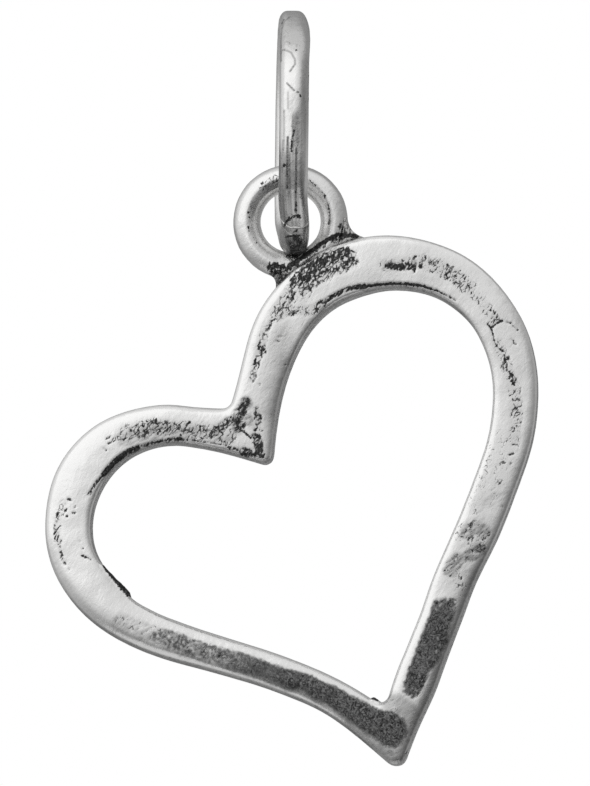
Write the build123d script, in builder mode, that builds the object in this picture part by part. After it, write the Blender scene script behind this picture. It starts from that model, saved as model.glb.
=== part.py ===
from build123d import *
from collections import namedtuple
from math import cos, radians, sin, sqrt, tan
import os

# Open heart charm in antiqued silver: an uneven, tilted heart frame, a round hanging loop
# let into its high shoulder and soldered there, and an oval bail that hangs it from a chain.
# Millimetres. The origin is the inside of the bail's crown, where the chain runs.
# +Z is up and the heart's front faces -Y.

# Bail: an oval ring of flat wire with rounded corners, closed by a soldered seam
BAIL_WIRE_WIDTH = 1.18
BAIL_WIRE_THICK = 1.0
BAIL_WIRE_CORNER = 0.35
BAIL_INNER_LENGTH = 7.8
BAIL_INNER_DEPTH = 6.0
BAIL_TWIST = 5.5  # degrees that the bail hangs out of square, about the vertical
BAIL_LEAN = 0.7  # degrees that its crown leans to the right
BAIL_SEAM_ANGLE = 58.0  # degrees below level, round the front of the lower bend
BAIL_SEAM_GAP = 0.3
BAIL_CLEARANCE = 0.1  # above the bottom of the loop's eye

# Hanging loop: a ring of round wire, its outside filed to sit on the heart's shoulder
LOOP_WIRE = 1.12
LOOP_EYE = 2.46
LOOP_SEAT_WALL = 0.51  # metal left between the eye and the heart where the ring is filed
LOOP_SEAT_ANGLE = 121.2  # degrees from +X, seen from the big lobe's centre

# Solder at the two ends of the loop's seat
SOLDER_LEFT_RADIUS = 0.5
SOLDER_RIGHT_RADIUS = 0.9
SOLDER_SETBACK = 0.13  # from the front and back of the loop's wire
SOLDER_BITE = 0.03  # by which the hollow arc reaches past a smooth blend

# Heart: thickness and rounded edges
HEART_THICKNESS = 1.9
FRONT_OUTER_ROUND = 0.28
FRONT_WINDOW_ROUND = 0.2
BACK_ROUND = 0.25
CORNER_MARGIN = 0.16  # by which a pointed corner's radius passes its edge's round
NOTCH_RADIUS = 0.35
WINDOW_TIP_RADIUS = 0.37

# Heart: the two lobes, and the bar round each of them
BIG_LOBE_RADIUS = 6.07
BIG_LOBE_BAR = 1.92
BIG_WINDOW_DROP = 0.25  # makes the bar heavier over the top
BIG_WINDOW_SHIFT = 0.09  # makes the bar heavier on the left
SMALL_LOBE_RADIUS = 4.93
SMALL_LOBE_BAR = 1.64
SMALL_WINDOW_SHIFT = 0.37  # makes the bar heavier on the left
SMALL_LOBE_LEFT = 9.21  # from the big lobe's centre
SMALL_LOBE_DOWN = 5.7
BIG_LOBE_ARC = 149.6, 9.6  # degrees where the lobe's round starts and ends
SMALL_LOBE_ARC = 82.0, 229.0

# Heart: the notch and the tip, from the big lobe's centre, and the bar at both
NOTCH_LEFT = 6.52
NOTCH_DOWN = 0.94
NOTCH_BAR_RIGHT = 1.72
NOTCH_BAR_DOWN = 2.4
TIP_RIGHT = 0.43
TIP_DOWN = 15.93
TIP_BAR_LEFT = 0.58
TIP_BAR_UP = 2.73

# Heart: degrees along which the right and left sides leave each notch and reach each tip
NOTCH_HEADINGS = 74.0, 177.6
CLEFT_HEADINGS = 85.0, 163.0
TIP_HEADINGS = 251.2, -44.0
WINDOW_TIP_HEADINGS = 254.6, -32.9

# Heart: fullness of the shoulders and flanks, as shares of each curve's span
RIGHT_SHOULDER_PULL = 0.36
LEFT_SHOULDER_PULL = 0.4
RIGHT_FLANK_PULLS = 0.24, 0.31
LEFT_FLANK_PULLS = 0.32, 0.455

RIGHT, LEFT = 0, 1
Lobe = namedtuple("Lobe", "center radius arc")
Corner = namedtuple("Corner", "point headings radius")


def heading(angle):
    """Unit vector at an angle from the sketch's X axis, in degrees."""
    return Vector(cos(radians(angle)), sin(radians(angle)))


def setback(corner):
    """Distance from a corner's point to where its rounding starts."""
    between = heading(corner.headings[RIGHT]).get_angle(heading(corner.headings[LEFT]))
    return corner.radius / tan(radians(between) / 2)


def pulled_curve(start, leave, start_pull, end, arrive, end_pull):
    """Curve that leaves and arrives along two directions, fuller with more pull."""
    span = (end - start).length
    Bezier(start, start + leave * span * start_pull, end - arrive * span * end_pull, end)


def heart_side(notch, lobe, tip, side, shoulder_pull, flank_pulls):
    """One side of a heart, from the notch over its lobe to the tip; returns its two ends."""
    leave_notch = heading(notch.headings[side])
    reach_tip = heading(tip.headings[side])
    start = notch.point + leave_notch * setback(notch)
    end = tip.point - reach_tip * setback(tip)
    first, last = lobe.arc
    arc = CenterArc(lobe.center, lobe.radius, first, last - first)
    pulled_curve(start, leave_notch, shoulder_pull, arc @ 0, arc % 0, shoulder_pull)
    pulled_curve(arc @ 1, arc % 1, flank_pulls[0], end, reach_tip, flank_pulls[1])
    return start, end


def heart_outline(notch, big_lobe, small_lobe, tip):
    """Closed outline of a heart, with its notch and tip rounded."""
    right_start, right_end = heart_side(
        notch, big_lobe, tip, RIGHT, RIGHT_SHOULDER_PULL, RIGHT_FLANK_PULLS
    )
    left_start, left_end = heart_side(
        notch, small_lobe, tip, LEFT, LEFT_SHOULDER_PULL, LEFT_FLANK_PULLS
    )
    TangentArc(right_start, left_start, tangent=heading(notch.headings[RIGHT]) * -1)
    TangentArc(right_end, left_end, tangent=heading(tip.headings[RIGHT]))


# Heights: the bail rests just above the bottom of the loop's eye
corner_reach = LOOP_EYE / 2 - BAIL_CLEARANCE - BAIL_WIRE_CORNER
corner_offset = BAIL_WIRE_WIDTH / 2 - BAIL_WIRE_CORNER
bail_bottom = BAIL_WIRE_CORNER + sqrt(corner_reach**2 - corner_offset**2)
loop_drop = BAIL_INNER_LENGTH + BAIL_WIRE_THICK - bail_bottom
lean = radians(BAIL_LEAN)
loop_center = Vector(-sin(lean), 0, -cos(lean)) * loop_drop
loop_plane = Plane(loop_center, x_dir=(1, 0, 0), z_dir=(0, -1, 0))

# Heart outlines, measured from the loop's centre
to_big_lobe = heading(LOOP_SEAT_ANGLE) * -1
seat_reach = LOOP_EYE / 2 + LOOP_SEAT_WALL
big_center = to_big_lobe * (seat_reach + BIG_LOBE_RADIUS)
small_center = big_center + Vector(-SMALL_LOBE_LEFT, -SMALL_LOBE_DOWN)
notch_point = big_center + Vector(-NOTCH_LEFT, -NOTCH_DOWN)
tip_point = big_center + Vector(TIP_RIGHT, -TIP_DOWN)

big_lobe = Lobe(big_center, BIG_LOBE_RADIUS, BIG_LOBE_ARC)
small_lobe = Lobe(small_center, SMALL_LOBE_RADIUS, SMALL_LOBE_ARC)
notch = Corner(notch_point, NOTCH_HEADINGS, NOTCH_RADIUS)
tip = Corner(tip_point, TIP_HEADINGS, FRONT_OUTER_ROUND + CORNER_MARGIN)

big_window = Lobe(
    big_center + Vector(BIG_WINDOW_SHIFT, -BIG_WINDOW_DROP),
    BIG_LOBE_RADIUS - BIG_LOBE_BAR,
    BIG_LOBE_ARC,
)
small_window = Lobe(
    small_center + Vector(SMALL_WINDOW_SHIFT, 0), SMALL_LOBE_RADIUS - SMALL_LOBE_BAR, SMALL_LOBE_ARC
)
cleft = Corner(
    notch_point + Vector(NOTCH_BAR_RIGHT, -NOTCH_BAR_DOWN),
    CLEFT_HEADINGS,
    FRONT_WINDOW_ROUND + CORNER_MARGIN,
)
window_tip = Corner(
    tip_point + Vector(-TIP_BAR_LEFT, TIP_BAR_UP), WINDOW_TIP_HEADINGS, WINDOW_TIP_RADIUS
)

# Heart frame: a bar with a soft front edge and a flat back
with BuildPart() as heart_frame:
    with BuildSketch(loop_plane):
        with BuildLine():
            heart_outline(notch, big_lobe, small_lobe, tip)
        make_face()
        with BuildLine():
            heart_outline(cleft, big_window, small_window, window_tip)
        make_face(mode=Mode.SUBTRACT)
    extrude(amount=HEART_THICKNESS / 2, both=True)
    front = faces().sort_by(Axis.Y)[0]
    fillet(front.outer_wire().edges(), FRONT_OUTER_ROUND)
    front = faces().sort_by(Axis.Y)[0]
    fillet(front.inner_wires()[0].edges(), FRONT_WINDOW_ROUND)
    back = faces().sort_by(Axis.Y)[-1]
    fillet(back.edges(), BACK_ROUND)

# Hanging loop: the round ring, filed away where the heart's shoulder is
loop_ring_radius = (LOOP_EYE + LOOP_WIRE) / 2
with BuildPart() as hanging_loop:
    with Locations(loop_plane):
        Torus(loop_ring_radius, LOOP_WIRE / 2)
    add(heart_frame.part, mode=Mode.SUBTRACT)

# Loop solder: a hollow fillet on each side, between the ring and the lobe
loop_to_lobe = seat_reach + BIG_LOBE_RADIUS
to_left = heading(LOOP_SEAT_ANGLE + 90)
with BuildPart() as loop_solder:
    with BuildSketch(loop_plane):
        for radius, to_side in ((SOLDER_LEFT_RADIUS, to_left), (SOLDER_RIGHT_RADIUS, to_left * -1)):
            blend = radius - SOLDER_BITE
            loop_to_blend = LOOP_EYE / 2 + LOOP_WIRE + blend
            lobe_to_blend = BIG_LOBE_RADIUS + blend
            along = (loop_to_lobe**2 + loop_to_blend**2 - lobe_to_blend**2) / (2 * loop_to_lobe)
            across = sqrt(loop_to_blend**2 - along**2)
            blend_center = to_big_lobe * along + to_side * across
            in_ring = blend_center.normalized() * loop_ring_radius
            in_bar = blend_center + (big_center - blend_center).normalized() * 2 * radius
            with BuildLine():
                Polyline(blend_center, in_ring, to_big_lobe * loop_ring_radius, in_bar, close=True)
            make_face()
            with Locations(blend_center):
                Circle(radius, mode=Mode.SUBTRACT)
    extrude(amount=LOOP_WIRE / 2 - SOLDER_SETBACK, both=True)
    add(heart_frame.part, mode=Mode.SUBTRACT)
    add(hanging_loop.part, mode=Mode.SUBTRACT)

# Bail: its plane stands across the heart, turned by the twist and the lean
bail_normal = heading(BAIL_TWIST) * cos(lean) + Vector(0, 0, -sin(lean))
bail_plane = Plane((0, 0, 0), x_dir=heading(BAIL_TWIST + 90), z_dir=bail_normal)
lower_bend = BAIL_INNER_DEPTH / 2 - BAIL_INNER_LENGTH
wire_reach = (BAIL_INNER_DEPTH + BAIL_WIRE_THICK) / 2
seam_point = Vector(0, lower_bend) - heading(BAIL_SEAM_ANGLE) * wire_reach
seam = bail_plane.location * Location(seam_point, (0, 0, BAIL_SEAM_ANGLE))
seam_size = 2 * BAIL_WIRE_THICK, BAIL_SEAM_GAP, 2 * BAIL_WIRE_WIDTH


def closed_bail():
    """The oval ring of rounded flat wire, with no seam."""
    with BuildSketch(bail_plane) as oval:
        with Locations((0, -BAIL_INNER_LENGTH / 2)):
            length, depth = BAIL_INNER_LENGTH, BAIL_INNER_DEPTH
            both_walls = 2 * BAIL_WIRE_THICK
            SlotOverall(length + both_walls, depth + both_walls, rotation=90)
            SlotOverall(length, depth, rotation=90, mode=Mode.SUBTRACT)
    extrude(oval.sketch, amount=BAIL_WIRE_WIDTH / 2, both=True)
    fillet(faces().filter_by(bail_plane).edges(), BAIL_WIRE_CORNER)


# Bail ring: bent wire, open at the seam
with BuildPart() as bail_ring:
    closed_bail()
    with Locations(seam):
        Box(*seam_size, mode=Mode.SUBTRACT)

# Bail solder: fills the seam flush
with BuildPart() as bail_solder:
    closed_bail()
    with Locations(seam):
        Box(*seam_size, mode=Mode.INTERSECT)

os.makedirs("parts", exist_ok=True)
pieces = {
    "heart_frame": heart_frame,
    "hanging_loop": hanging_loop,
    "loop_solder": loop_solder,
    "bail_ring": bail_ring,
    "bail_solder": bail_solder,
}
for name, piece in pieces.items():
    piece.part.label = name
    export_step(piece.part, f"parts/{name}.step")
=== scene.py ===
import math

import bpy
import numpy as np
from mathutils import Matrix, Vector, kdtree, noise


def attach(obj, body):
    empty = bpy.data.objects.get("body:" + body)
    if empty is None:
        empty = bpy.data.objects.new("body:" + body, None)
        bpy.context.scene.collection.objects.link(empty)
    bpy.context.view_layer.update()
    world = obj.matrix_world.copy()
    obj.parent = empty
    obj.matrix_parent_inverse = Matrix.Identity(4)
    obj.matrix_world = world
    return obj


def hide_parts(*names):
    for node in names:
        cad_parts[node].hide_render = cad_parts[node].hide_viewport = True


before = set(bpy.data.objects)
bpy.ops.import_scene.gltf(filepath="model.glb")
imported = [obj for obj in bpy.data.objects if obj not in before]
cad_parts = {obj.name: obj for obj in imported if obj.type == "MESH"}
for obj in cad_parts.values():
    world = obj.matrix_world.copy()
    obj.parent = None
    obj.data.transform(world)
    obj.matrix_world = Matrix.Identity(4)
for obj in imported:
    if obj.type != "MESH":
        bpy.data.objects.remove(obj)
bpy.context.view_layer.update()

# Heart frame
# One solid silver casting, an uneven open heart. Its face was hammered and wiped, so black patina
# is left in its pits, cracks and low places while the rims are rubbed bright.
# Places and sizes on all the pieces are millimetres in the part's frame, with z up and the face towards -y.
MM = 0.001
MERGE_GAP = 1e-7
TINY = 1e-9
FACE_DEPTH = 0.85
HEART_SILVER = (0.88, 0.878, 0.872, 1)
HEART_RELIEF = 0.015 * MM


def fine_copy(name, node, voxel, soften):
    """An even, fine mesh over a CAD node's solid, held in millimetres while it is worked."""
    bpy.ops.object.select_all(action="DESELECT")
    piece = bpy.data.objects.new(name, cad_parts[node].data.copy())
    bpy.context.scene.collection.objects.link(piece)
    piece.select_set(True)
    bpy.context.view_layer.objects.active = piece
    piece.data.materials.clear()
    bpy.ops.object.mode_set(mode="EDIT")
    bpy.ops.mesh.select_all(action="SELECT")
    bpy.ops.mesh.remove_doubles(threshold=MERGE_GAP)
    bpy.ops.transform.resize(value=(1 / MM, 1 / MM, 1 / MM), center_override=(0, 0, 0))
    bpy.ops.object.mode_set(mode="OBJECT")
    even = piece.modifiers.new("even mesh", "REMESH")
    even.mode = "VOXEL"
    even.voxel_size = voxel
    soft = piece.modifiers.new("soften", "SMOOTH")
    soft.factor = 0.5
    soft.iterations = soften
    for step in (even, soft):
        bpy.ops.object.modifier_apply(modifier=step.name)
    return piece


def finer_front(piece, facing):
    """Subdivides once every face that looks towards the front."""
    bpy.ops.object.mode_set(mode="EDIT")
    bpy.ops.mesh.select_all(action="DESELECT")
    bpy.ops.object.mode_set(mode="OBJECT")
    for face in piece.data.polygons:
        face.select = face.normal.y < -facing
    bpy.ops.object.mode_set(mode="EDIT")
    bpy.ops.mesh.select_mode(type="FACE")
    bpy.ops.mesh.subdivide(number_cuts=1)
    bpy.ops.object.mode_set(mode="OBJECT")


def points_of(piece):
    """The places of a mesh's points, one row each."""
    points = np.empty(len(piece.data.vertices) * 3)
    piece.data.vertices.foreach_get("co", points)
    return points.reshape(-1, 3)


def normals_of(piece):
    """The way each point of a mesh looks, one row each."""
    normals = np.empty(len(piece.data.vertices) * 3)
    piece.data.vertex_normals.foreach_get("vector", normals)
    return normals.reshape(-1, 3)


def smooth_step(low, high, values):
    """A soft step from 0 at low to 1 at high."""
    share = np.clip((values - low) / (high - low), 0, 1)
    return share * share * (3 - 2 * share)


def line_gap(flat, line):
    """Distance of every point from a line through the given places, seen from the front."""
    places = np.array(line, float)
    ends = places[1:] if len(places) > 1 else places
    gap = np.full(len(flat), np.inf)
    for start, end in zip(places, ends):
        run = end - start
        share = np.clip((flat - start) @ run / max(run @ run, TINY), 0, 1)
        gap = np.minimum(gap, np.linalg.norm(flat - start - share[:, None] * run, axis=1))
    return gap


# The thinnest half width that the mesh can hold, and how much of a fine or a broad mark is at full strength.
THINNEST_MARK = 0.055
FINE_MARK = 0.1
FINE_CORE = 0.3
BROAD_CORE = 0.65
MARK_FADE = 1.5


def drawn(flat, marks):
    """Strength of all marks at every point: full along a mark's line, gone a little beyond its half width."""
    strength = np.zeros(len(flat))
    for half_width, level, line in marks:
        core = FINE_CORE if half_width < FINE_MARK else BROAD_CORE
        share = line_gap(flat, line) / max(half_width, THINNEST_MARK)
        strength = np.maximum(strength, level * (1 - smooth_step(core, MARK_FADE, share)))
    return strength


def depth_inside(flat, outline):
    """Distance of every point from a closed outline, above zero inside it."""
    corners = np.array(outline, float)
    inside = np.zeros(len(flat), bool)
    for start, end in zip(corners, np.roll(corners, -1, axis=0)):
        crosses = (start[1] > flat[:, 1]) != (end[1] > flat[:, 1])
        slope = (end[0] - start[0]) / (end[1] - start[1] + TINY)
        inside ^= crosses & (flat[:, 0] < start[0] + slope * (flat[:, 1] - start[1]))
    gap = line_gap(flat, np.vstack([corners, corners[:1]]))
    return np.where(inside, gap, -gap)


def uneven(points, size, seed):
    """Soft noise between -1 and 1 over the points, its lumps about as large as size."""
    shift = Vector((seed, seed * 2, seed * 3))
    return np.array([noise.noise(Vector(p) / size + shift) for p in points])


def add_node(tree, kind, values, **settings):
    """A shader node with its settings made and its inputs set to plain values or joined to other outputs."""
    made = tree.nodes.new("ShaderNode" + kind)
    for name, value in settings.items():
        setattr(made, name, value)
    for name, value in values.items():
        if isinstance(value, bpy.types.NodeSocket):
            tree.links.new(value, made.inputs[name])
        else:
            made.inputs[name].default_value = value
    return made


def math_of(tree, operation, *values):
    """The outcome of one sum in a shader."""
    return add_node(tree, "Math", dict(enumerate(values)), operation=operation).outputs[0]


def scaled(tree, value, factor, offset):
    """A shader value times a factor, with an offset added."""
    return math_of(tree, "MULTIPLY_ADD", value, factor, offset)


def eased(tree, value, low, high, start=0.0, end=1.0):
    """A shader value eased from start at low to end at high."""
    values = {"Value": value, "From Min": low, "From Max": high, "To Min": start, "To Max": end}
    return add_node(tree, "MapRange", values, interpolation_type="SMOOTHSTEP").outputs[0]


def grey(tree, level):
    """A neutral colour of the given level."""
    return add_node(tree, "CombineColor", {0: level, 1: level, 2: level}).outputs[0]


def blended(tree, share, first, second, blend="MIX"):
    """The first colour with a share of the second laid over it."""
    values = {0: share, 6: first, 7: second}
    return add_node(tree, "Mix", values, data_type="RGBA", blend_type=blend).outputs[2]


def speckle(tree, place, scale, detail, distortion):
    """Cloudy noise in a shader."""
    values = {"Vector": place, "Scale": scale, "Detail": detail, "Roughness": 0.6, "Distortion": distortion}
    return add_node(tree, "TexNoise", values).outputs["Fac"]


# The patina's patterns, in lumps per metre, and how pits, film and stain take to them: factor and offset,
# or the two levels between which each comes in.
DRIFT_SCALE = 4000.0
DRIFT_REACH = 0.22 * MM
LACE_SCALE = (4000, 6000, 7500)
LACE_TURN = math.radians(60)
LACE_CELLS = 0.7
LACE_DASHES = (1.0, -0.1)
FIBRE_SCALE = 5600
GRAIN_SCALE = 12000
BLOTCH_SCALE = 1800
PIT_SPREAD = (0.43, 0.21)
PIT_STRONGEST = 8.0
PIT_FILL = 0.4
PIT_EDGE = (-0.07, 0.12)
PIT_START = (0.05, 0.25)
PIT_GRAIN = (0.4, 0.75)
PIT_BLACK = (0.03, 0.14)
PIT_ROUGH = 0.6
FILM_FIBRE = (1.3, -0.65)
FILM_BLOTCH = (0.5, -0.25)
FILM_EDGE = (0.36, 0.7)
FIBRE_SPAN = (0.36, 0.7)
FILM_SOOT = (0.03, 0.27)
FILM_ROUGH = 0.5
FILM_CRUST = (0.6, 0.05)
STAIN_SPAN = (0.0, 0.5)
STAIN_DEPTH = (1.0, 0.4)
GRAIN_SPAN = (0.3, 0.7)
STAIN_GRAIN = (0.94, 1.0)
POLISH = (0.2, 0.3)
PEEL = 0.8


def patina_group():
    """Silver with a grey stain, a dark film and black lace-like pits, each where its input is high."""
    group = bpy.data.node_groups.new("worn_patina", "ShaderNodeTree")
    for name, kind in (("Pits", "Float"), ("Film", "Float"), ("Silver", "Color")):
        group.interface.new_socket(name, in_out="INPUT", socket_type="NodeSocket" + kind)
    for name, kind in (("Color", "Color"), ("Roughness", "Float"), ("Height", "Float")):
        group.interface.new_socket(name, in_out="OUTPUT", socket_type="NodeSocket" + kind)
    given = group.nodes.new("NodeGroupInput").outputs
    result = group.nodes.new("NodeGroupOutput").inputs
    place = add_node(group, "TexCoord", {}).outputs["Object"]

    drifting = {"Vector": place, "Scale": DRIFT_SCALE, "Detail": 2.0}
    drift = add_node(group, "TexNoise", drifting).outputs["Color"]
    moved = {0: drift, 1: (DRIFT_REACH,) * 3, 2: place}
    bent = add_node(group, "VectorMath", moved, operation="MULTIPLY_ADD").outputs[0]
    slanted = {"Vector": bent, "Angle": LACE_TURN}
    turned = add_node(group, "VectorRotate", slanted, rotation_type="Y_AXIS").outputs[0]
    pulled = add_node(group, "VectorMath", {0: turned, 1: LACE_SCALE}, operation="MULTIPLY").outputs[0]
    cells = add_node(group, "TexVoronoi", {"Vector": pulled, "Scale": 1.0}, feature="DISTANCE_TO_EDGE")
    dashes = speckle(group, pulled, scale=0.8, detail=3, distortion=0.3)
    lace = scaled(group, cells.outputs["Distance"], LACE_CELLS, scaled(group, dashes, *LACE_DASHES))
    fibre = speckle(group, place, FIBRE_SCALE, detail=3, distortion=2.2)
    grain = speckle(group, place, GRAIN_SCALE, detail=3, distortion=0.4)
    blotch = speckle(group, place, BLOTCH_SCALE, detail=2, distortion=0.6)

    strongest = math_of(group, "POWER", given["Pits"], PIT_STRONGEST)
    reach = scaled(group, strongest, PIT_FILL, scaled(group, given["Pits"], *PIT_SPREAD))
    pitted = eased(group, math_of(group, "SUBTRACT", reach, lace), *PIT_EDGE)
    pitted = math_of(group, "MULTIPLY", pitted, eased(group, given["Pits"], *PIT_START))
    mottled = math_of(group, "ADD", scaled(group, fibre, *FILM_FIBRE), scaled(group, blotch, *FILM_BLOTCH))
    filmed = eased(group, math_of(group, "ADD", given["Film"], mottled), *FILM_EDGE)

    stain = eased(group, given["Film"], *STAIN_SPAN, *STAIN_DEPTH)
    stain = math_of(group, "MULTIPLY", stain, eased(group, grain, *GRAIN_SPAN, *STAIN_GRAIN))
    bare = blended(group, 1.0, given["Silver"], grey(group, stain), "MULTIPLY")
    soot = grey(group, eased(group, fibre, *FIBRE_SPAN, *FILM_SOOT))
    black = grey(group, eased(group, grain, *PIT_GRAIN, *PIT_BLACK))
    colour = blended(group, pitted, blended(group, filmed, bare, soot), black)
    group.links.new(colour, result["Color"])

    dull = eased(group, grain, *GRAIN_SPAN, *POLISH)
    for cover, rough in ((filmed, FILM_ROUGH), (pitted, PIT_ROUGH)):
        dull = math_of(group, "MAXIMUM", dull, math_of(group, "MULTIPLY", cover, rough))
    group.links.new(dull, result["Roughness"])
    crust = math_of(group, "MULTIPLY", fibre, scaled(group, filmed, *FILM_CRUST))
    height = math_of(group, "SUBTRACT", scaled(group, dashes, PEEL, crust), pitted)
    group.links.new(height, result["Height"])
    return group


PATINA = patina_group()


def silver_of(name, colour, relief):
    """A silver that carries the patina group and the marks stored on its mesh."""
    silver = bpy.data.materials.new(name)
    silver.use_nodes = True
    tree = silver.node_tree
    shader = tree.nodes["Principled BSDF"]
    worn = tree.nodes.new("ShaderNodeGroup")
    worn.node_tree = PATINA
    worn.inputs["Silver"].default_value = colour
    for mark in ("pits", "film"):
        source = add_node(tree, "Attribute", {}, attribute_name=mark)
        tree.links.new(source.outputs["Fac"], worn.inputs[mark.capitalize()])
    bump = add_node(tree, "Bump", {"Height": worn.outputs["Height"], "Distance": relief, "Strength": 1.0})
    shader.inputs["Metallic"].default_value = 1.0
    tree.links.new(worn.outputs["Color"], shader.inputs["Base Color"])
    tree.links.new(worn.outputs["Roughness"], shader.inputs["Roughness"])
    tree.links.new(bump.outputs["Normal"], shader.inputs["Normal"])
    return silver


def finish_piece(piece, points, pits, film, body, node, material):
    """Puts the worked points and the marks on the mesh, in metres, and fixes the piece to its body."""
    piece.data.vertices.foreach_set("co", (points * MM).ravel())
    for mark, values in (("pits", pits), ("film", film)):
        stored = piece.data.attributes.new(mark, "FLOAT", "POINT")
        stored.data.foreach_set("value", np.clip(values, 0, 1))
    piece.data.update()
    bpy.ops.object.shade_smooth()
    piece.data.materials.append(material)
    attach(piece, body)
    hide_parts(node)


heart = fine_copy("antiqued_heart", "heart_frame", voxel=0.1, soften=3)
finer_front(heart, facing=0.25)
heart_points = points_of(heart)
heart_normals = normals_of(heart)
heart_flat = heart_points[:, [0, 2]]
heart_x, heart_z = heart_flat.T
looks_right, looks_back, looks_up = heart_normals.T
in_front = smooth_step(0.0, FACE_DEPTH, -heart_points[:, 1])
on_face = smooth_step(0.1, -0.25, looks_back)

# The walls round the outside and round the window, told apart by which way they look.
WINDOW_MIDDLE = np.array((1.5, -19.0))
wall = np.abs(looks_back) < 0.35
to_window = np.sum(heart_normals[:, [0, 2]] * (WINDOW_MIDDLE - heart_flat), axis=1)


def wall_gap(chosen):
    """Distance of every point from the chosen walls, seen from the front."""
    tree = kdtree.KDTree(int(chosen.sum()))
    for number, place in enumerate(heart_flat[chosen]):
        tree.insert((place[0], place[1], 0), number)
    tree.balance()
    return np.array([tree.find((place[0], place[1], 0))[2] for place in heart_flat])


outer_gap = wall_gap(wall & (to_window < 0))
window_gap = wall_gap(wall & (to_window >= 0))
across = outer_gap / (outer_gap + window_gap + 1e-6)
bow = (2 * across - 1) ** 2

# The face is a shallow dome across the bar, deeper on the two lower arms and rounded off at the shoulders,
# with hammer marks over it. The back is flatter and only a little uneven.
FACE_BOW = 0.035
LOWER_BOW = 0.04
LEFT_BOW = 0.11
BACK_BOW = 0.04
LEFT_SHOULDER = 0.32
RIGHT_SWEEP = 0.004
LEFT_SWEEP = 0.007
LOW_LEFT_EDGE = 0.6
LOBE_EDGE = 0.4
BROAD_BLOWS = 0.03
FINE_BLOWS = 0.012
BACK_UNEVEN = 0.05
lower_arm = smooth_step(-21.5, -24.0, heart_z)
left_arm = smooth_step(0.4, -0.4, heart_x) * smooth_step(-17.2, -15.5, heart_z)
low_left = smooth_step(-19.5, -22.5, heart_z) * smooth_step(-2.5, -5.0, heart_x)
small_lobe = smooth_step(-1.5, -4.0, heart_x) * smooth_step(-21.5, -19.0, heart_z)
shoulder = LEFT_SHOULDER * left_arm * np.maximum(across - 0.3, 0) ** 2
shoulder += RIGHT_SWEEP * np.maximum(heart_x - 3, 0) ** 2
shoulder += LOW_LEFT_EDGE * low_left * np.maximum(0.5 - outer_gap, 0) ** 2
shoulder += LEFT_SWEEP * np.maximum(-5 - heart_x, 0) ** 2
shoulder += LOBE_EDGE * small_lobe * np.maximum(0.5 - across, 0) ** 2
dome = (FACE_BOW + (LOWER_BOW + LEFT_BOW * smooth_step(4.5, 3.0, heart_x)) * lower_arm) * bow
hammered = BROAD_BLOWS * uneven(heart_points, 1.9, 3) + FINE_BLOWS * uneven(heart_points, 0.6, 7)
heart_points[:, 1] += in_front * (dome + shoulder + hammered)
at_back = smooth_step(0.3, FACE_DEPTH, heart_points[:, 1])
heart_points[:, 1] += at_back * (BACK_UNEVEN * uneven(heart_points, 1.5, 29) - BACK_BOW * bow)

# Filing by hand left the outline a little in or out of true in these places: middle, shift and reach.
FILED = (
    (7.6, -22.6, -0.14, 0.055, 1.6), (5.75, -27.0, 0.08, -0.03, 1.2), (9.7, -16.8, 0.08, -0.02, 1.6),
    (6.9, -24.6, -0.03, 0.012, 1.0), (5.6, -8.5, -0.01, -0.04, 1.5), (10.0, -13.4, -0.045, 0.0, 1.4),
    (-10.1, -19.3, 0.035, 0.0, 1.3), (-3.0, -15.0, 0.02, -0.045, 1.2), (-1.4, -26.75, 0.0, 0.04, 1.4),
    (-3.6, -26.1, 0.0, 0.035, 1.4), (-7.95, -20.9, -0.09, -0.01, 1.0), (-8.0, -19.7, -0.045, 0.0, 0.9),
    (-6.4, -22.95, -0.05, -0.09, 0.7), (-5.5, -23.6, -0.02, -0.05, 0.8), (5.9, -11.0, 0.03, 0.07, 1.2),
    (7.15, -12.0, 0.05, 0.05, 1.0), (7.8, -16.8, 0.04, 0.0, 1.2), (5.05, -23.8, 0.07, -0.025, 1.1),
    (4.55, -25.1, 0.045, -0.015, 0.9), (2.8, -10.8, 0.0, -0.06, 1.0),
    (8.9, -10.9, -0.05, -0.04, 2.0), (-10.2, -20.5, 0.07, 0.0, 2.0), (1.2, -27.9, -0.02, 0.115, 1.6),
    (-2.2, -13.4, 0.06, -0.02, 1.5), (-9.3, -23.0, 0.04, 0.045, 1.5), (-6.4, -15.2, 0.0, -0.07, 1.4),
    (4.2, -29.7, 0.0, 0.05, 0.6),
)
for middle_x, middle_z, shift_x, shift_z, reach in FILED:
    share = np.exp(-np.sum((heart_flat - (middle_x, middle_z)) ** 2, axis=1) / reach ** 2)
    heart_points[:, [0, 2]] += share[:, None] * (shift_x, shift_z)

# All marks were read off the picture, in pixels. It looks from a little to the right and below, and
# the middle of the hanging loop lies at one known pixel of it.
TURN, TILT = math.radians(4), math.radians(-4)
PIXELS_PER_MM = 24.5
LOOP_PIXEL = (290.6, 222.0)
LOOP_MIDDLE = (-0.0942, -7.7073)
HEART_FRONT = -0.95


def place_of(pixel, depth):
    """Where a pixel of the picture lies at the given depth, across and up, to a hundredth of a millimetre."""
    right = (pixel[0] - LOOP_PIXEL[0]) / PIXELS_PER_MM
    up = (LOOP_PIXEL[1] - pixel[1]) / PIXELS_PER_MM
    x = (right - math.sin(TURN) * depth) / math.cos(TURN)
    rise = up + math.sin(TILT) * (math.sin(TURN) * x - math.cos(TURN) * depth)
    return round(x + LOOP_MIDDLE[0], 2), round(rise / math.cos(TILT) + LOOP_MIDDLE[1], 2)


def on_heart(pixel):
    return place_of(pixel, HEART_FRONT)


def read_off(place, marks):
    """Marks read off the picture, with their half widths and lines turned into millimetres."""
    return [(round(half / PIXELS_PER_MM, 3), level, [place(pixel) for pixel in line])
            for half, level, line in marks]


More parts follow.
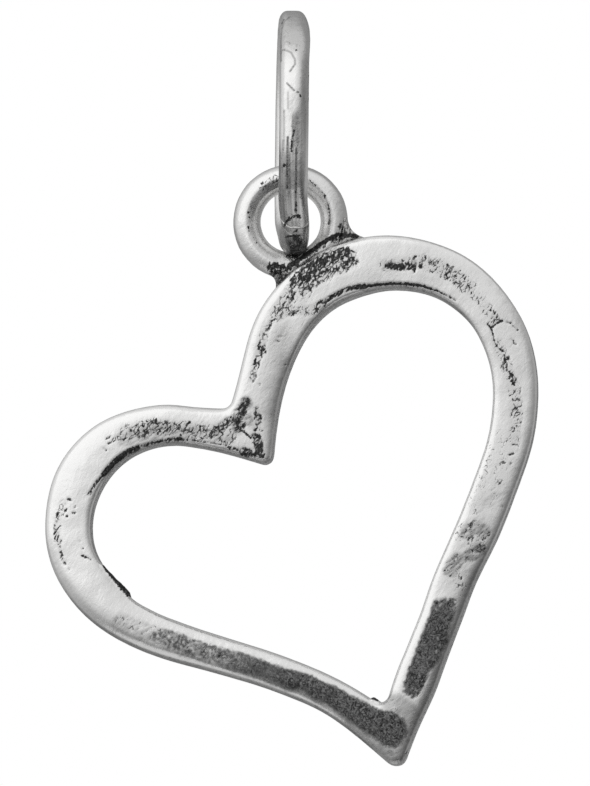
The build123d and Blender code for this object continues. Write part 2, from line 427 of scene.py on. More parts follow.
# Black marks in the face and grey stains on it: half width, strength, and the line that each follows.
HEART_MARKS = read_off(on_heart, (
    # black pitting under the ring
    (8, 0.76, ((297, 281), (312, 269.5), (328, 259), (343, 254))),
    (8, 0.66, ((303, 288), (318, 277), (335, 267), (350, 261))),
    (7, 0.61, ((294, 287), (287, 300), (279, 314))),
    (5, 0.52, ((283, 313), (297, 311), (310, 311), (321, 306))),
    (10, 0.30, ((300, 296), (312, 288))),
    (1.5, 0.81, ((347.6, 248.7), (355, 253))),
    # dark line along the window's upper edge: black patina, with painted shade where the edge turns down
    (2.6, 0.82, ((320.4, 304), (329, 298.6), (340, 292), (349.7, 287.7), (365, 285.5))),
    (2, 0.93, ((365, 285.5), (380, 284), (394, 284), (408, 284.6), (422, 287.5), (436, 292.5))),
    (1.3, 0.77, ((436, 292.5), (447.4, 298.3), (454.4, 301.8))),
    # pits over the top of the big lobe
    (4, 0.80, ((388, 266.5), (398, 267), (410, 266))),
    (6, 0.42, ((384, 266), (412, 263))),
    (2.2, 0.70, ((415, 257), (413.4, 271.7))),
    (8, 0.54, ((424, 263), (440, 268), (455, 278), (468, 288))),
    (5, 0.60, ((456, 280), (470, 287))),
    (6, 0.40, ((470, 290), (484, 305), (494, 320))),
    # cracks down the right side
    (1.2, 0.81, ((487, 325), (492, 327), (496.5, 323), (502, 320))),
    (1.3, 0.84, ((487, 325), (490.8, 329), (493, 336), (494.4, 343), (498, 348), (503.5, 351.6))),
    (1.3, 0.81, ((503.5, 355.8), (505, 361.5))),
    (1.6, 0.81, ((506, 364), (506.5, 370))),
    (1.2, 0.77, ((509, 372.7), (513, 375.5))),
    (1.8, 0.84, ((511, 381), (513.3, 385.3))),
    (1.3, 0.72, ((519, 388), (518, 394))),
    (1.5, 0.68, ((516, 399), (520, 401))),
    (1.2, 0.77, ((513.5, 408), (519, 406))),
    (1.6, 0.87, ((511.2, 427.4),)),
    (1.4, 0.77, ((509, 443.5), (514.7, 444.2))),
    (1.3, 0.81, ((506, 454), (510.5, 452.7))),
    (1.5, 0.81, ((508.4, 462.5),)),
    (1.2, 0.85, ((491.5, 449),)),
    (1, 0.68, ((506, 321.5), (512, 323))),
    (1, 0.68, ((513, 325), (517.5, 329))),
    (1, 0.68, ((512, 339), (516, 344))),
    (6, 0.42, ((498, 345), (509, 372), (515, 400), (511, 440))),
    (4, 0.44, ((510, 375), (515, 400), (517, 418))),
    # squiggle down the left arm
    (2.6, 0.59, ((276, 316), (271, 323), (267, 330))),
    (4.2, 0.61, ((264, 336), (261, 346), (258.5, 356))),
    (3.4, 0.60, ((257, 360), (253.5, 370), (252, 379))),
    (1.3, 0.84, ((259, 346), (264, 350), (265.4, 353))),
    (1.5, 0.84, ((258.9, 384.6),)),
    (1.6, 0.85, ((284.9, 364.3),)),
    (1, 0.72, ((275.5, 341.2), (278, 341.2))),
    (1, 0.72, ((278.5, 337), (281.5, 336.5))),
    # dark corner over the cleft
    (4.5, 0.76, ((246, 401), (241, 411))),
    (6.5, 0.76, ((241, 411), (237, 419), (239, 426))),
    (5, 0.70, ((230, 420), (219, 428))),
    (1.4, 0.85, ((242.3, 429.6), (251, 437.6))),
    (3.5, 0.66, ((256.5, 409), (258, 416), (259, 424))),
    (2.4, 0.68, ((255, 429), (261.5, 430))),
    (5, 0.76, ((256.5, 438), (259, 446), (260, 453))),
    (2.4, 0.78, ((229, 447.5), (243, 451))),
    (4, 0.80, ((243, 451.5), (255, 453), (262, 454.5))),
    # mottling along the top of the small lobe
    (2.6, 0.63, ((114.7, 439), (130.7, 434.4), (146.6, 429.6))),
    (9, 0.62, ((128, 432), (150, 427), (166, 428))),
    (8, 0.56, ((165, 429), (185, 430), (204, 432))),
    (2.5, 0.63, ((186, 423), (191, 423.5))),
    (8, 0.58, ((205, 429), (218, 433), (229, 437))),
    (1.3, 0.77, ((107, 438), (111, 436))),
    (1.3, 0.77, ((109, 443), (112, 441.5))),
    (1.2, 0.72, ((104, 448), (107, 450))),
    # dark line inside the small lobe, along the window's upper edge: black patina, with painted shade where
    # the edge turns down
    (2.2, 0.85, ((89.5, 494), (95.6, 484), (103.6, 474.3))),
    (2.8, 0.90, ((103.6, 474.3), (114.7, 461.5), (124.3, 453.6), (138.6, 446.4))),
    (2.2, 0.82, ((138.6, 446.4), (154.6, 441.6), (170.5, 439.2), (183.3, 439.2))),
    (1.2, 0.72, ((183.3, 439.2), (191, 440), (210.4, 442.4), (226.3, 444.8))),
    # squiggle down the left side
    (2.8, 0.59, ((58, 514), (54.5, 523), (54, 531.7), (55.7, 539.7))),
    (2, 0.65, ((55.7, 539.7), (59, 549), (60.5, 557), (63.7, 563.6))),
    (4, 0.42, ((62, 503), (56, 520), (57, 545))),
    (1.3, 0.81, ((67, 498.5), (70, 500))),
    (1.3, 0.81, ((64.5, 504),)),
    (1.4, 0.81, ((63.5, 511), (66, 508.5))),
    (1.2, 0.77, ((66, 516),)),
    (1.3, 0.81, ((72, 512.6), (75, 512.3))),
    (1.2, 0.81, ((74.9, 507),)),
    (1.2, 0.77, ((81.2, 541),)),
    (1, 0.72, ((84, 548),)),
    (1.5, 0.81, ((83.5, 555.6), (87, 556.5), (92.4, 558.8))),
    (1.2, 0.81, ((68.5, 569),)),
    # speckle at the start of the lower arm
    (7, 0.26, ((122, 620), (136, 624), (150, 630))),
    (8, 0.30, ((152, 632), (175, 640), (200, 648), (225, 655))),
    (6, 0.50, ((418, 677), (412, 689))),
    # nicks in the rims
    (1.6, 0.87, ((374, 697.5),)),
    (1.2, 0.81, ((536.5, 368),)),
    (1.3, 0.81, ((415, 728),)),
    (1.3, 0.81, ((410, 745), (404, 752))),
    # pits above the dark band on the right
    (8, 0.41, ((462, 533), (472, 526), (482, 534))),
    (6, 0.55, ((470, 557), (481, 548))),
    (12, 0.25, ((499, 440), (492, 470), (480, 505))),
    (7, 0.43, ((450, 570), (460, 561))),
    (6, 0.36, ((470, 540), (480, 545))),
    (5, 0.46, ((460, 578), (466, 592))),
    (1.4, 0.85, ((494, 493),)),
    (1, 0.81, ((501, 505.5),)),
    (1.2, 0.81, ((498.5, 483),)),
))
HEART_STAINS = read_off(on_heart, (
    # over the cleft
    (7, 0.45, ((245, 403), (240, 411), (236.5, 419), (238, 427))),
    (5, 0.35, ((246, 412), (249, 421))),
    (5, 0.35, ((229, 421), (217, 429))),
    (5, 0.35, ((256, 437), (259, 446), (260, 453))),
    # over the top of the big lobe and under the ring
    (6, 0.25, ((386, 266), (400, 266), (412, 264))),
    (10, 0.22, ((303, 279), (316, 268), (331, 259), (345, 257))),
    # above the dark band on the right
    (7, 0.50, ((471, 556), (480, 549))),
    (8, 0.40, ((451, 569), (460, 560))),
    (8, 0.36, ((467, 532), (474, 527), (483, 531))),
    # along the small lobe and the start of the lower arm
    (8, 0.27, ((124, 438), (150, 431), (190, 433), (228, 438))),
    (10, 0.22, ((122, 622), (140, 628), (156, 634))),
    (10, 0.16, ((499, 490), (481, 520), (466, 560), (456, 590))),
    # the dull tip
    (11, 0.40, ((386, 747), (398, 758))),
    (3, 0.55, ((389, 750), (391, 752))),
    (8, 0.34, ((404, 745), (412, 728))),
    (12, 0.41, ((393, 703), (408, 712), (412, 724))),
    (6, 0.40, ((345, 727), (363, 741), (383, 757), (395, 763))),
))
heart_pits = drawn(heart_flat, HEART_MARKS) * on_face

# Two broad bands of dark film lie on the lower arms, worn thin in one place and flecked on the right.
LOWER_LEFT_FILM = [on_heart(pixel) for pixel in (
    (152.7, 631), (161, 627), (181, 633), (201.6, 641), (228, 649), (250.7, 654.9),
    (271, 663), (293.5, 669.1), (314, 677), (334, 686), (354.5, 696.5), (375, 707.5),
    (391.4, 710.4), (401.6, 716.5), (406.7, 729), (399.3, 741), (394.4, 745.2), (383.4, 742.3),
    (361, 727), (340.4, 714.5), (332, 706), (316, 700), (299.6, 690), (283, 688),
    (263, 678), (234, 669.6), (218, 663.5), (201.6, 658.4), (181, 653.3), (167, 645),
    (150.6, 637),
)]
RIGHT_FILM = [on_heart(pixel) for pixel in (
    (434.5, 599.4), (444, 596), (456.4, 599.4), (456.4, 608), (451, 624), (446, 643),
    (436.2, 659.4), (426.4, 669.7), (420.6, 687.3), (411.8, 695.7), (402, 689.5), (402, 680),
    (409, 661), (417.8, 640), (425, 622), (430, 610),
)]
WORN_LINE = [on_heart(pixel) for pixel in ((199.4, 649.3), (221.4, 656.3))]
BRIGHT_FLECKS = read_off(on_heart, (
    (1.47, 0.60, ((436.4, 636), (437.2, 638))),
    (1, 0.50, ((439, 642.5), (438.6, 644))),
    (1.2, 0.60, ((435.2, 649), (434.8, 650.5))),
    (1.2, 0.50, ((431.8, 656), (431.4, 658))),
    (1.47, 0.60, ((416.3, 672), (417.3, 674))),
    (1, 0.50, ((418.6, 678), (418, 679.5))),
))
RAGGED = 0.06
BAND_EDGE = 0.05
BAND_SOFT = 0.19
ragged = RAGGED + RAGGED * uneven(heart_points, 0.6, 13) + RAGGED * uneven(heart_points, 0.11, 17)
fading = smooth_step(0.55, 0.35, across)
speckled = uneven(heart_points, 0.12, 61)


def film_band(outline, spread, softness):
    """A band of film inside the outline, ragged at its edge and fading towards the outer rim."""
    depth = depth_inside(heart_flat, outline) + ragged
    return smooth_step(0, 1, (depth + BAND_EDGE + spread * fading) / (BAND_SOFT + softness * fading))


left_film = film_band(LOWER_LEFT_FILM, spread=0.15, softness=0.25)
left_film *= 0.52 + 0.38 * smooth_step(-3.6, 1.8, heart_x) - 0.07 * smooth_step(-4.2, -5.4, heart_x)
left_film *= 1 - 0.16 * (1 - smooth_step(0.1, 0.5, line_gap(heart_flat, WORN_LINE)))
left_film *= 1 + 0.9 * speckled * smooth_step(-0.5, -3.5, heart_x)
right_film = 0.94 * film_band(RIGHT_FILM, spread=0.05, softness=0.15)
right_film *= 1 - drawn(heart_flat, BRIGHT_FLECKS)
right_ends = smooth_step(-26.2, -27.1, heart_z) + 0.9 * smooth_step(-24.1, -23.2, heart_z)
right_film *= 1 + right_ends * (0.9 * speckled - 0.45)

# Wiping drew the stains out up to the right, less so at the tip. Two plain patches of painted shade lie
# beside them, where the face turns away from the light.
CLEFT_SHADE = 0.25
LOW_RIGHT_SHADE = 0.3
wiped = np.stack([heart_flat @ (0.26, 0.15), heart_points[:, 1], heart_flat @ (-0.5, 0.87)], axis=1)
streaks = (0.2 + 0.6 * smooth_step(-27.2, -26.0, heart_z)) * uneven(wiped, 0.1, 23)
stains = drawn(heart_flat, HEART_STAINS) * (0.8 + streaks)
# Painted shade by the window's edge beside the cleft.
shade_by_cleft = smooth_step(0.7, -0.1, heart_x) * smooth_step(-4.5, -2.5, heart_x)
shade_by_cleft *= smooth_step(-17.8, -17.0, heart_z) * smooth_step(0.6, 0.95, across)
# Painted shade on the outer edge of the lower right arm.
low_right_shade = smooth_step(4.2, 5.2, heart_x) * smooth_step(-19.5, -22.5, heart_z)
low_right_shade *= smooth_step(0.42, 0.1, across)
painted_shades = np.maximum(CLEFT_SHADE * shade_by_cleft, LOW_RIGHT_SHADE * low_right_shade)
heart_film_and_shade = np.maximum.reduce([left_film, right_film, stains, painted_shades]) * on_face

# A thin stain stays on the walls, with painted shade on the walls that look right and on everything that
# looks down, and the marks are low places.
PIT_DEPTH = 0.012
FILM_DEPTH = 0.015
on_wall = smooth_step(0.75, 0.95, 1 - np.abs(looks_back))
# Thin stain on all walls, with painted shade added on those that look right.
wall_stain_and_shade = (0.3 + 0.17 * smooth_step(0.2, 0.5, looks_right)) * on_wall
# Painted shade on faces that look down, a little darker above the tip and lighter at it.
under_shade = 0.42 + 0.1 * smooth_step(-28.0, -28.8, heart_z) - 0.22 * smooth_step(-28.9, -29.5, heart_z)
under_shade *= smooth_step(-0.25, -0.7, looks_up)
heart_film_and_shade = np.maximum.reduce([heart_film_and_shade, wall_stain_and_shade, under_shade, 0.25 * heart_pits])
heart_points[:, 1] += in_front * (PIT_DEPTH * heart_pits + FILM_DEPTH * heart_film_and_shade)

# The back was only wiped: cloudy grey, with a few pits.
on_back = smooth_step(0.6, 0.95, looks_back)
cloudy = uneven(heart_points, 1.3, 37)
heart_film_and_shade = np.maximum(heart_film_and_shade, on_back * (0.08 + 0.3 * cloudy))
heart_pits = np.maximum(heart_pits, 0.45 * on_back * smooth_step(0.1, 0.5, cloudy))

# A black burr hangs on the window's edge low on the small lobe, and a small one in the lowest corner.
BURR = [on_heart(pixel) for pixel in ((105, 566.4), (117.5, 579.3), (126.3, 593.5))]
SMALL_BURR = [on_heart(pixel) for pixel in ((372.5, 697.6), (376.5, 698.8))]
BURR_HEIGHT = 0.17
burr = 1 - smooth_step(0.06, 0.32, line_gap(heart_flat, BURR))
burr *= 0.45 + 0.55 * smooth_step(-7.7, -7.15, heart_x)
small_burr = 0.75 * (1 - smooth_step(0.02, 0.16, line_gap(heart_flat, SMALL_BURR)))
broken_depth = heart_points[:, 1] + 0.2 * uneven(heart_points, 0.4, 43)
at_edge = smooth_step(0.9, 0.5, np.abs(looks_back)) * smooth_step(-0.2, -0.6, broken_depth)
burr = np.maximum(burr, small_burr) * at_edge * (to_window >= 0)
heart_points += heart_normals * (BURR_HEIGHT * burr)[:, None]
heart_pits = np.maximum(heart_pits, smooth_step(0.2, 0.5, burr))

finish_piece(heart, heart_points, heart_pits, heart_film_and_shade, "heart", "heart_frame",
             silver_of("antique_silver", HEART_SILVER, HEART_RELIEF))

# Hanging loop
# A closed ring of round silver wire, filed on one side and let into the heart's high shoulder.
# The inner half of its face keeps a grey stain, and black lies in the corner where it meets the heart.
# Painted shade darkens its outer rim and a crescent inside its top, most under the bail; a thin line round
# the eye is left bare as a painted highlight.
LOOP_SILVER = (0.87, 0.868, 0.862, 1)
LOOP_RELIEF = 0.02 * MM
LOOP_FRONT = -0.4
LOOP_UNEVEN = 0.012
INNER_GREY = 0.2
RIM_SHADE = 0.22


def on_loop(pixel):
    return place_of(pixel, LOOP_FRONT)


LOOP_MARKS = read_off(on_loop, (
    (1.2, 0.85, ((251, 207),)),
    (1.3, 0.85, ((249, 213),)),
    (1.2, 0.85, ((250, 218),)),
    (1, 0.84, ((249, 227), (249.5, 231))),
    (1, 0.84, ((254, 238),)),
    (1, 0.84, ((257, 243),)),
    (0.9, 0.72, ((310, 181), (318, 188), (324, 194), (329, 206), (330, 214), (329, 225))),
    (2.5, 0.93, ((357, 236), (344, 236), (338, 235), (329, 240), (321, 244), (312, 251), (303, 257),
                 (294, 264), (289, 267))),
    (5, 0.54, ((340, 236), (321, 245), (303, 258), (289, 268))),
    (5, 0.80, ((271, 267), (280, 270), (288, 268))),
    (3, 0.70, ((341, 226), (345, 234))),
    (6, 0.72, ((292, 256), (306, 252))),
    (4, 0.50, ((262, 188), (270, 182), (276, 179))),
))
loop = fine_copy("hanging_ring", "hanging_loop", voxel=0.05, soften=4)
loop_points = points_of(loop)
loop_flat = loop_points[:, [0, 2]]
loop_spokes = loop_flat - LOOP_MIDDLE
loop_reach = np.linalg.norm(loop_spokes, axis=1)
loop_turn = np.degrees(np.arctan2(loop_spokes[:, 1], loop_spokes[:, 0])) % 360
loop_points += normals_of(loop) * (LOOP_UNEVEN * uneven(loop_points, 0.7, 11))[:, None]
inner_half = smooth_step(1.83, 1.76, loop_reach)
# A thin line round the eye is kept clear of the stain: a painted highlight.
highlight_line = smooth_step(1.34, 1.38, loop_reach) * smooth_step(1.48, 1.44, loop_reach)
# Painted shade on the upper left of the inner face, which looks down and right, deepest under the bail.
shaded_crescent = inner_half * smooth_step(1.42, 1.48, loop_reach)
shaded_crescent *= smooth_step(75, 100, loop_turn) * smooth_step(200, 160, loop_turn)
shaded_crescent *= 0.38 + 0.2 * smooth_step(140, 110, loop_turn)
# Painted shade along the outer rim.
outer_rim_shade = smooth_step(2.04, 2.3, loop_reach)
inner_grey = INNER_GREY * inner_half * (1 - highlight_line)
loop_stain_and_shade = np.maximum.reduce([inner_grey, RIM_SHADE * outer_rim_shade, shaded_crescent])
finish_piece(loop, loop_points, drawn(loop_flat, LOOP_MARKS), loop_stain_and_shade, "heart", "hanging_loop",
             silver_of("loop_silver", LOOP_SILVER, LOOP_RELIEF))

# Loop solder
# Silver solder that ran into the two corners between the ring and the heart when the ring was fixed.
# It is duller than the wire, and the left corner has kept more black.
SOLDER_SILVER = (0.83, 0.825, 0.815, 1)
SOLDER_RELIEF = 0.03 * MM
BETWEEN_CORNERS = 0.5
CORNER_FILM = (0.5, 0.3)
CORNER_PITS = (0.72, 0.5)
solder = fine_copy("seat_solder", "loop_solder", voxel=0.04, soften=2)
solder_points = points_of(solder)
left_corner = solder_points[:, 0] < BETWEEN_CORNERS
solder_film = np.where(left_corner, *CORNER_FILM)
solder_pits = np.where(left_corner, *CORNER_PITS)
solder_pits = np.maximum(solder_pits, drawn(solder_points[:, [0, 2]], LOOP_MARKS))
finish_piece(solder, solder_points, solder_pits, solder_film, "heart", "loop_solder",
             silver_of("solder", SOLDER_SILVER, SOLDER_RELIEF))

# Bail
# An oval ring of flat silver wire with rounded corners, bent round a rod and closed low on its front.
# Drawing the wire left long scratches, and the lower bend is dark where it sits down in the loop.
# Painted shade darkens its crown, the lower half of its front and its right side, where the wire turns from
# the light.
BAIL_SILVER = (0.86, 0.857, 0.85, 1)
BAIL_RELIEF = 0.02 * MM
BAIL_SLANT = 0.096
BAIL_OFFSET = 0.08
BAIL_UNEVEN = 0.01
CROWN_WIDER = 0.05
CROWN_DROP = 0.06
CROWN_ROUND = 3.4
FRONT_TURN = 0.15
FOOT_LEAN = 0.15
FOOT_NARROWER = 0.14
FOOT_DROP = 0.085
FOOT_FRONT_DROP = 0.24

# The bail bows towards the lens, so a pixel's place on it is searched for. This needs how far its front
# reaches, the heights where its bends start, and how far away the lens is.
BAIL_REACH = 4.0
UPPER_BEND, LOWER_BEND = -3.0, -4.8
PICTURE = (590, 786)
LENS, SENSOR = 450.0, 36.0
LENS_AWAY = LENS / SENSOR * PICTURE[1] / PIXELS_PER_MM
FIRST_DEPTH = -3.0
DEPTH_TRIES = 60


def on_bail(pixel):
    """Where a pixel of the picture lies on the bail's front, which is nearer to the lens than the loop."""
    depth = FIRST_DEPTH
    for attempt in range(DEPTH_TRIES):
        nearness = 1 - depth / LENS_AWAY
        seen = [whole / 2 + (along - whole / 2) / nearness for along, whole in zip(pixel, PICTURE)]
        x, z = place_of(seen, depth)
        past_bend = max(z - UPPER_BEND, LOWER_BEND - z, 0)
        depth = (depth - math.sqrt(max(BAIL_REACH ** 2 - past_bend ** 2, 0))) / 2
    return x, z


BAIL_MARKS = read_off(on_bail, (
    (0.9, 0.77, ((281, 23), (283, 19))),
    (1.2, 0.77, ((296, 50),)),
    (1.3, 0.50, ((293.5, 89.5), (298, 92.3))),
    (2, 0.90, ((300.6, 95.4),)),
    (1.4, 0.85, ((294, 130), (292, 140), (291.6, 151))),
    (0.9, 0.56, ((287, 163), (287, 188))),
    (0.9, 0.50, ((296, 180), (296, 212))),
    (1.6, 0.72, ((296, 206), (296, 213))),
    (2.2, 0.85, ((289.5, 218.5), (294, 216.5), (299, 216.5))),
    (1.1, 0.85, ((289.5, 219), (286, 222), (283.5, 226))),
    (2, 0.90, ((284, 165),)),
    (1, 0.81, ((294, 233), (298, 231))),
    (1.1, 0.84, ((286, 237), (300, 236.5))),
    (7, 0.72, ((297, 244), (298, 254))),
))
BAIL_SCRATCHES = read_off(on_bail, (
    (0.8, 0.36, ((279, 50), (284, 49), (291, 52), (295, 59), (295, 64), (290, 71))),
    (0.8, 0.32, ((287, 41), (290, 43))),
    (0.8, 0.32, ((297, 44), (297, 46))),
    (0.8, 0.36, ((287, 83), (294, 90))),
    (0.7, 0.27, ((288, 92), (288, 108))),
    (0.7, 0.27, ((284, 110), (284, 150))),
    (0.8, 0.38, ((294, 119), (292, 126))),
    (0.7, 0.59, ((287.6, 137), (287, 160), (287, 188))),
    (0.7, 0.59, ((296, 148), (296, 180), (296, 212))),
    (0.8, 0.23, ((301, 130), (301, 200))),
    (0.8, 0.36, ((283, 140), (283, 210))),
    (0.6, 0.36, ((280.5, 60), (280.8, 40), (281.3, 28), (284, 20.5), (289, 16.5))),
    (1.6, 0.45, ((278.5, 216), (279.5, 223), (281.5, 226.5))),
))
bail = fine_copy("oval_bail", "bail_ring", voxel=0.06, soften=4)
finer_front(bail, facing=0.3)
bail_points = points_of(bail)


def bail_across(points):
    """How far each point lies to the right of the bail's middle plane, which hangs a little out of square."""
    return points[:, 0] + BAIL_SLANT * points[:, 1] + BAIL_OFFSET


def hand_bent(points, normals):
    """Moves the bail's points as bending by hand left them, and gives the share of each that is its front."""
    x, z = points[:, 0].copy(), points[:, 2].copy()
    front = smooth_step(0.0, -0.6, points[:, 1]) * smooth_step(0.1, -0.2, normals[:, 1])
    side = bail_across(points)
    points += normals * (BAIL_UNEVEN * uneven(points * (1, 1, 0.35), 0.5, 5))[:, None]
    # The crown is wider on the right and rounded over, and the front is turned a little to the left.
    rounding = 0.7 - 0.25 * smooth_step(-3.2, -4.6, z)
    points[:, 0] += CROWN_WIDER * smooth_step(-1.8, -0.4, z) * smooth_step(0.2, 0.6, x)
    points[:, 1] += front * (rounding * np.maximum(side - 0.05, 0) ** 2 - FRONT_TURN * side)
    fall = CROWN_DROP + CROWN_ROUND * np.maximum(np.abs(side) - 0.18, 0) ** 3
    points[:, 2] -= smooth_step(-0.7, 0.9, z) * fall
    # The lower bend is narrower, leans right and comes down almost onto the loop, its front a little further.
    points[:, 0] += FOOT_LEAN * smooth_step(-6.6, -8.4, z) * smooth_step(-0.2, -0.8, points[:, 1])
    points[:, 0] += FOOT_NARROWER * smooth_step(-7.4, -8.6, z) * smooth_step(0.1, -0.6, side)
    drop = FOOT_DROP + FOOT_FRONT_DROP * smooth_step(-0.1, -0.6, points[:, 1])
    points[:, 2] -= drop * smooth_step(-8.0, -8.6, z) * smooth_step(0.75, 0.5, np.abs(x + 0.1))
    return front


bail_front = hand_bent(bail_points, normals_of(bail))
bail_flat = bail_points[:, [0, 2]]
bail_height = bail_points[:, 2]
bail_side = bail_across(bail_points)

# Painted shade comes in on the left below the middle, where the front turns down, and lies all down the right
# side, which turns from the light, with a darker strip by the main scratch, grey on the foot, painted shade
# on the crown and fine drawn lines.
STRIP_GREY = 0.18
CROWN_SHADE = 0.23
LINE_GREY = 0.2
lines = uneven(bail_points * (1, 0.02, 0.02), 0.08, 19) * smooth_step(-3.0, -4.6, bail_height)
# Painted shade: the right side, and the left below the middle.
on_right = smooth_step(0.1, 0.4, bail_side + 0.3 * smooth_step(-3.2, -3.9, bail_height))
lower_left_shade = (0.4 - 0.07 * smooth_step(-0.2, 0.0, bail_side)) * smooth_step(-4.2, -5.6, bail_height)
right_side_shade = 0.02 + 0.22 * smooth_step(-6.4, -7.1, bail_height)
right_side_shade += 0.27 * smooth_step(-6.2, -4.0, bail_height) * (1 - 0.6 * smooth_step(-1.8, -0.8, bail_height))
strip = smooth_step(-0.15, -0.05, bail_side) * smooth_step(0.35, 0.1, bail_side)
strip *= smooth_step(-3.3, -3.8, bail_height) * smooth_step(-5.4, -4.8, bail_height)
# Darker grey over the foot, where it sits down in the loop.
foot_darkening = smooth_step(-8.2, -8.7, bail_height) * smooth_step(-0.3, -0.12, bail_side)
foot_darkening *= 0.4 + 0.3 * uneven(bail_points, 0.25, 53)
# Painted shade on the crown.
crown_shade = smooth_step(-2.0, -0.6, bail_height) * (1 - 0.5 * on_right)
crown_shade *= smooth_step(-0.52, -0.42, bail_side)
bail_film_and_shade = lower_left_shade * (1 - on_right) + right_side_shade * on_right
bail_film_and_shade += STRIP_GREY * strip + foot_darkening + CROWN_SHADE * crown_shade + LINE_GREY * lines
bail_film_and_shade = np.maximum(bail_film_and_shade, drawn(bail_flat, BAIL_SCRATCHES)) * bail_front
finish_piece(bail, bail_points, drawn(bail_flat, BAIL_MARKS) * bail_front, bail_film_and_shade, "bail", "bail_ring",
             silver_of("bail_silver", BAIL_SILVER, BAIL_RELIEF))

# Bail seam
# The solder that closes the bail low on its front, filed nearly flush.
# It is a little paler than the wire. Round its edge lies grey that is partly patina in its outline and partly
# painted shade over the edge's highlight.
SEAM_SILVER = (0.84, 0.835, 0.825, 1)
SEAM_RELIEF = 0.02 * MM
SEAM_EDGE_STAIN_AND_SHADE = 0.36
seam = fine_copy("bail_seam", "bail_solder", voxel=0.04, soften=1)
seam_points = points_of(seam)
seam_normals = normals_of(seam)
seam_facing = seam_normals[seam_normals[:, 1] < -0.5].mean(axis=0)
seam_facing /= np.linalg.norm(seam_facing)
hand_bent(seam_points, seam_normals)
seam_flat = seam_points[:, [0, 2]]
# Grey where the seam's edge turns away: patina in its outline and painted shade over its highlight.
seam_edge_stain_and_shade = SEAM_EDGE_STAIN_AND_SHADE * smooth_step(0.95, 0.75, seam_normals @ seam_facing)
seam_film_and_shade = 0.06 + 0.2 * smooth_step(-7.9, -8.4, seam_flat[:, 1])
seam_film_and_shade = np.maximum.reduce([seam_film_and_shade, seam_edge_stain_and_shade, drawn(seam_flat, BAIL_SCRATCHES)])
finish_piece(seam, seam_points, drawn(seam_flat, BAIL_MARKS), seam_film_and_shade, "bail",
             "bail_solder", silver_of("seam_solder", SEAM_SILVER, SEAM_RELIEF))

# Floor
# A plain pale board, painted nearly white.
# It lies well below the hanging charm. Sizes from here on are metres.
FLOOR_HEIGHT = -0.45
FLOOR_RADIUS = 0.35
FLOOR_PAINT = (0.9, 0.9, 0.9, 1)
FLOOR_ROUGH = 0.8
bpy.ops.object.select_all(action="DESELECT")
bpy.ops.mesh.primitive_circle_add(vertices=128, radius=FLOOR_RADIUS, fill_type="NGON",
                                  location=(0, 0, FLOOR_HEIGHT))
floor = bpy.context.object
floor.name = "pale_board"
board = bpy.data.materials.new("pale_board")
board.use_nodes = True
board_paint = board.node_tree.nodes["Principled BSDF"].inputs
board_paint["Base Color"].default_value = FLOOR_PAINT
board_paint["Roughness"].default_value = FLOOR_ROUGH
floor.data.materials.append(board)

# Light
# A pale tent round the charm: bright above and on the left, dim on the right and below, with a dark
# gap round the white board that stands behind the charm. The gap is opened towards the upper left.
LEFT_WEIGHT = 0.8 / 2.2
TOP_WEIGHT = 0.7 / 2.2
CORNER_WEIGHT = 0.35
KEY_PLACE = (-0.4, -0.45, 0.4)
KEY_SIZE = 0.9
KEY_POWER = 0.75
CHARM_MIDDLE = Vector((0, 0, -0.014))

# Each list gives places along one direction and the level of light there.
SIDE_LEVELS = ((0.045, 0.24), (0.273, 0.38), (0.409, 0.55), (0.5, 0.77), (0.62, 0.83), (0.955, 0.82))
BELOW_LEVELS = ((0.15, 0.4), (0.38, 0.75), (0.49, 1.0))
GAP_EDGE = ((0.57, 0.0), (0.7, 1.0))
GAP_LEVELS = ((0.7, 0.41), (0.94, 0.37), (0.985, 0.25))
OPEN_EDGE = ((0.74, 0.0), (0.92, 1.0))
OPEN_LIGHT = (0.75, 0.75, 0.75, 1)
BOARD_EDGE = ((0.9992, 0.0), (0.9997, 1.0))
WHITE = (1, 1, 1, 1)
world = bpy.data.worlds.new("light_tent")
bpy.context.scene.world = world
world.use_nodes = True
tent = world.node_tree


def tent_ramp(value, stops):
    """A grey level that follows the value through the given stops."""
    ramp = add_node(tent, "ValToRGB", {0: value})
    elements = ramp.color_ramp.elements
    while len(elements) < len(stops):
        elements.new(0.5)
    for element, (place, level) in zip(elements, stops):
        element.position = place
        element.color = (level, level, level, 1)
    return ramp.outputs[0]


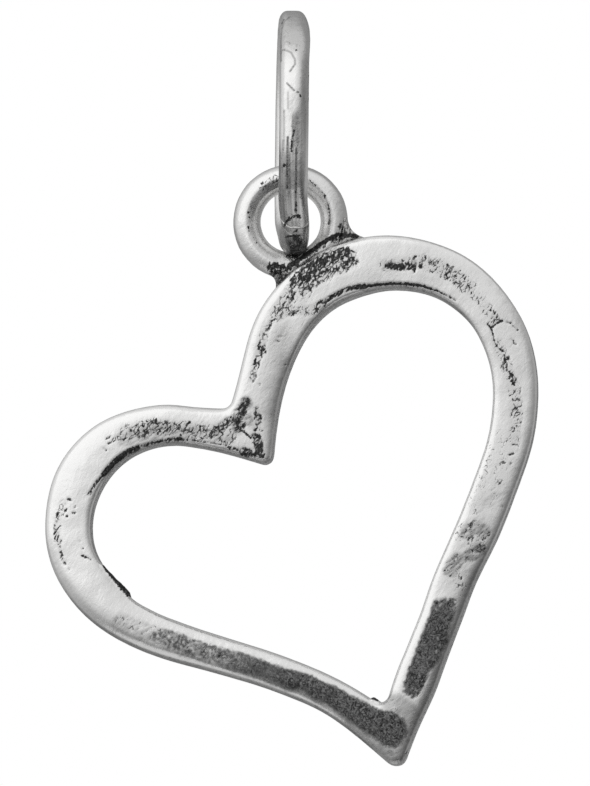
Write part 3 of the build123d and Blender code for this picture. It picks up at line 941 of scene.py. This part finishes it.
look = add_node(tent, "SeparateXYZ", {0: add_node(tent, "TexCoord", {}).outputs["Generated"]}).outputs
to_side = scaled(tent, look["Z"], TOP_WEIGHT, scaled(tent, look["X"], -LEFT_WEIGHT, 0.5))
to_top = scaled(tent, look["Z"], 0.5, 0.5)
to_back = scaled(tent, look["Y"], 0.5, 0.5)
to_upper_left = scaled(tent, look["Z"], CORNER_WEIGHT, scaled(tent, look["X"], -CORNER_WEIGHT, 0.5))
light = blended(tent, 1.0, tent_ramp(to_side, SIDE_LEVELS), tent_ramp(to_top, BELOW_LEVELS), "MULTIPLY")
dim = blended(tent, tent_ramp(to_upper_left, OPEN_EDGE), tent_ramp(to_back, GAP_LEVELS), OPEN_LIGHT)
light = blended(tent, tent_ramp(to_back, GAP_EDGE), light, dim)
rays = add_node(tent, "LightPath", {}).outputs
mirrored = math_of(tent, "MAXIMUM", rays["Is Glossy Ray"], rays["Is Transmission Ray"])
mirrored = math_of(tent, "MULTIPLY", mirrored, tent_ramp(to_back, BOARD_EDGE))
light = blended(tent, math_of(tent, "MAXIMUM", rays["Is Camera Ray"], mirrored), light, WHITE)
tent.links.new(light, tent.nodes["Background"].inputs["Color"])

bpy.ops.object.light_add(type="AREA", location=KEY_PLACE)
key = bpy.context.object
key.name = "soft_window"
key.data.size = KEY_SIZE
key.data.energy = KEY_POWER
key.rotation_euler = (CHARM_MIDDLE - key.location).to_track_quat("-Z", "Y").to_euler()

# Camera
# A long lens a little to the right of the charm and a little below it.
# The middle of the loop is set on one pixel of the picture, at a fixed number of pixels to the metre.
SCALE = PIXELS_PER_MM / MM
LOOP_CENTRE = Vector((LOOP_MIDDLE[0] * MM, 0, LOOP_MIDDLE[1] * MM))
NEAREST = 0.01
right = Vector((math.cos(TURN), math.sin(TURN), 0))
back = Vector((math.sin(TURN) * math.cos(TILT), -math.cos(TURN) * math.cos(TILT), math.sin(TILT)))
up = back.cross(right)
middle = LOOP_CENTRE + right * (PICTURE[0] / 2 - LOOP_PIXEL[0]) / SCALE
middle -= up * (PICTURE[1] / 2 - LOOP_PIXEL[1]) / SCALE
bpy.ops.object.camera_add(location=middle + back * (LENS / SENSOR * PICTURE[1] / SCALE))
camera = bpy.context.object
camera.rotation_euler = back.to_track_quat("Z", "Y").to_euler()
camera.data.lens = LENS
camera.data.sensor_width = SENSOR
camera.data.clip_start = NEAREST
bpy.context.scene.camera = camera

bpy.context.scene.view_settings.view_transform = "Standard"
